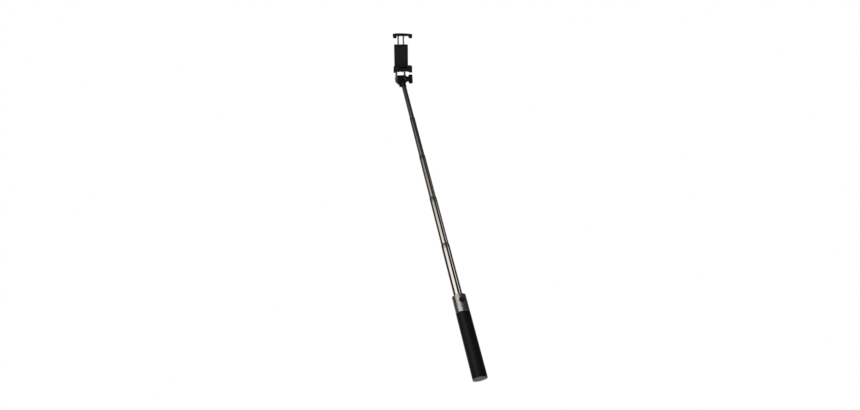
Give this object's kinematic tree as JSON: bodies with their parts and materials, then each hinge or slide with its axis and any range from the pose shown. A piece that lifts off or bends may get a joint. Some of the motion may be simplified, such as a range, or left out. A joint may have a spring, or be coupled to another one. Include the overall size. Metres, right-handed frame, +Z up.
{
  "type": "selfie stick",
  "caption": "Hand-held telescopic pole with a rubber-gripped handle and shutter button, nesting polished tubes and a tilting, spring-loaded clamp that holds a phone across its width",
  "frame": {"origin": "centre of the end cap's bottom face", "axes": "+Z up the stick from the end cap to the phone clamp; -Y is the front, where the shutter button is and where the phone's screen faces; +X is the wing knob's side"},
  "size_m": [0.0476, 0.1009, 0.7485],
  "materials": {
    "grip_rubber": "fine matte",
    "cap_grey": "satin grey",
    "core_aluminium": "drawn",
    "collar_aluminium": "turned and polished, clear anodised",
    "mouth_plastic": "moulded",
    "guide_steel": "drawn",
    "tube_steel": "polished dark chrome",
    "bush_plastic": "moulded acetal",
    "battery_wrap": "shrink wrap",
    "board_green": "lacquered",
    "switch_black": "moulded",
    "lens_clear": "translucent",
    "socket_steel": "plated",
    "lead_insulation": "extruded",
    "bezel_chrome": "polished",
    "button_black": "satin",
    "head_plastic": "fine spark-eroded texture",
    "clamp_plastic": "fine spark-eroded texture",
    "yoke_metal": "satin black powder coat",
    "pad_rubber": "soft matte",
    "screw_steel": "zinc plated, darkened",
    "rod_steel": "ground and plated",
    "spring_steel": "drawn wire",
    "washer_plastic": "moulded",
    "insert_brass": "knurled"
  },
  "bodies": {
    "handle": {"end_cap": "cap_grey", "handle_core": "core_aluminium", "grip_sleeve": "grip_rubber", "collar": "collar_aluminium", "mouth_bush": "mouth_plastic", "guide_tube": "guide_steel", "guide_plug": "bush_plastic", "battery": "battery_wrap", "circuit_board": "board_green", "tact_switch": "switch_black", "status_lens": "lens_clear", "button_bezel": "bezel_chrome", "charge_socket": "socket_steel", "charge_board": "board_green", "battery_leads": "lead_insulation"},
    "button": {"shutter_button": "button_black", "switch_plunger": "switch_black"},
    "section_1": {"tube_1": "tube_steel", "glide_bush_1": "bush_plastic"},
    "section_2": {"tube_2": "tube_steel", "glide_bush_2": "bush_plastic"},
    "section_3": {"tube_3": "tube_steel", "glide_bush_3": "bush_plastic"},
    "section_4": {"tube_4": "tube_steel", "glide_bush_4": "bush_plastic"},
    "section_5": {"tube_5": "tube_steel", "glide_bush_5": "bush_plastic", "knuckle": "head_plastic", "tube_screw": "screw_steel"},
    "clamp": {"yoke": "yoke_metal", "hinge_bolt": "screw_steel", "friction_washers": "washer_plastic", "clamp_base": "clamp_plastic", "front_cover": "clamp_plastic", "back_pad": "pad_rubber", "lower_pad": "pad_rubber", "cover_screws": "screw_steel", "yoke_screws": "screw_steel", "clamp_springs": "spring_steel"},
    "jaw": {"upper_jaw": "clamp_plastic", "upper_pad": "pad_rubber", "guide_rods": "rod_steel", "rod_clips": "screw_steel"},
    "knob": {"wing_knob": "head_plastic", "knob_insert": "insert_brass"}
  },
  "joints": [
    {"name": "button_press", "type": "slide", "parent": "handle", "child": "button", "axis": [0, 1, 0], "range_m": [0, 0.0004], "stiffness_N_per_m": 500},
    {"name": "extend_1", "type": "slide", "parent": "handle", "child": "section_1", "axis": [0, 0, 1], "range_m": [-0.1018, 0]},
    {"name": "extend_2", "type": "slide", "parent": "section_1", "child": "section_2", "axis": [0, 0, 1], "range_m": [-0.1018, 0]},
    {"name": "extend_3", "type": "slide", "parent": "section_2", "child": "section_3", "axis": [0, 0, 1], "range_m": [-0.1018, 0]},
    {"name": "extend_4", "type": "slide", "parent": "section_3", "child": "section_4", "axis": [0, 0, 1], "range_m": [-0.1018, 0]},
    {"name": "extend_5", "type": "slide", "parent": "section_4", "child": "section_5", "axis": [0, 0, 1], "range_m": [-0.092, 0]},
    {"name": "clamp_tilt", "type": "hinge", "parent": "section_5", "child": "clamp", "pos_m": [-0.0035, 0.0016, 0.6835], "axis": [1, 0, 0], "range_deg": [-142, 38]},
    {"name": "knob_turn", "type": "hinge", "parent": "clamp", "child": "knob", "pos_m": [0.0105, 0.0016, 0.6835], "axis": [1, 0, 0], "range_deg": [0, 360]},
    {"name": "jaw_slide", "type": "slide", "parent": "clamp", "child": "jaw", "axis": [0, -0.788, 0.6157], "range_m": [-0.0154, 0.0146], "stiffness_N_per_m": 60, "springref_m": -0.03, "deforming": ["clamp_springs"]}
  ]
}
